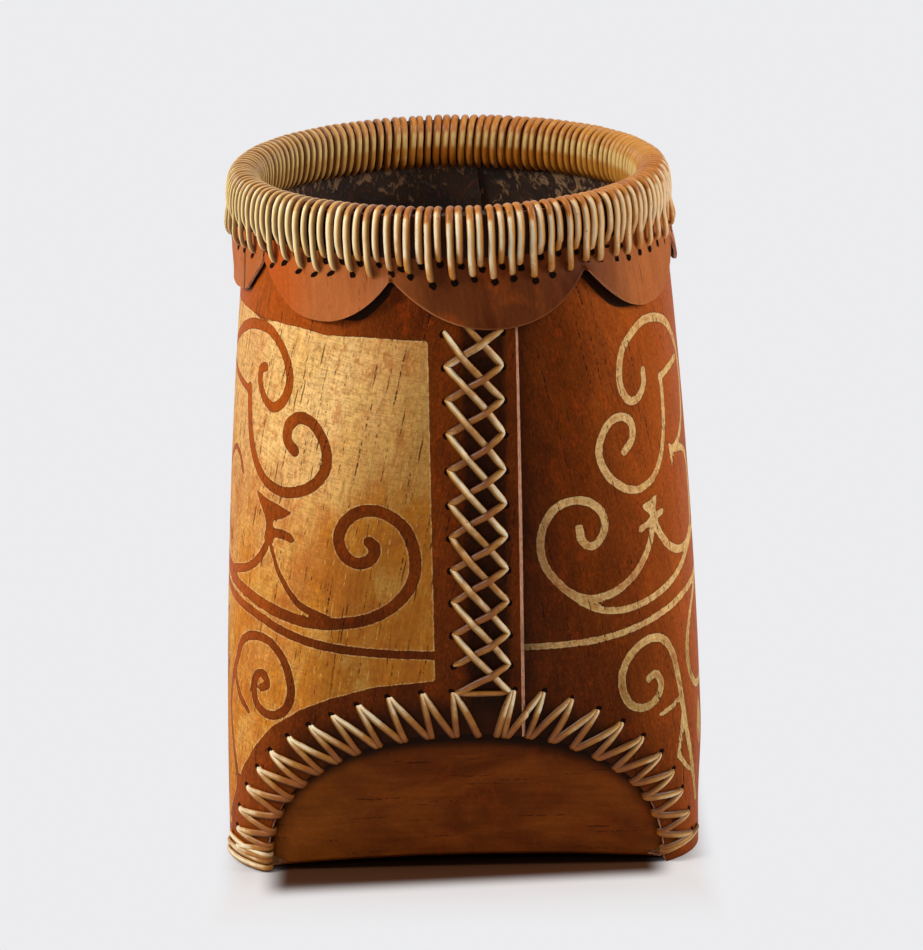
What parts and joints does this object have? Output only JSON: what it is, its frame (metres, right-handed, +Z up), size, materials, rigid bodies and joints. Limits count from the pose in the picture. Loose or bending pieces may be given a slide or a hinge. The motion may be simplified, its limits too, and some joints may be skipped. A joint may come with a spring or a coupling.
{
  "type": "birch bark basket",
  "caption": "Tall open bark basket, square at the foot and round at the root-lashed rim, with a scalloped collar, laced seams and arched, stitched lower edges.",
  "frame": {"origin": "middle of the foot, on the floor under the basket's centre", "axes": "+Z up along the basket's axis, -Y to the front with its laced seam, +X to the right"},
  "size_m": [0.1896, 0.1952, 0.2641],
  "materials": {
    "bark": "satin",
    "bark_bottom": "satin",
    "bark_collar": "satin",
    "withe": "matte",
    "root": "satin"
  },
  "bodies": {
    "root": {"left_wall": "bark", "right_wall": "bark", "bottom": "bark_bottom", "front_collar": "bark_collar", "back_collar": "bark_collar", "outer_hoop": "withe", "inner_hoop": "withe", "rim_root_1": "root", "rim_root_2": "root", "rim_root_3": "root", "rim_root_4": "root", "rim_root_5": "root", "rim_root_6": "root", "front_seam_root": "root", "back_seam_root": "root", "front_arch_root": "root", "front_slant_root": "root", "back_arch_root": "root", "back_slant_root": "root"}
  },
  "joints": []
}
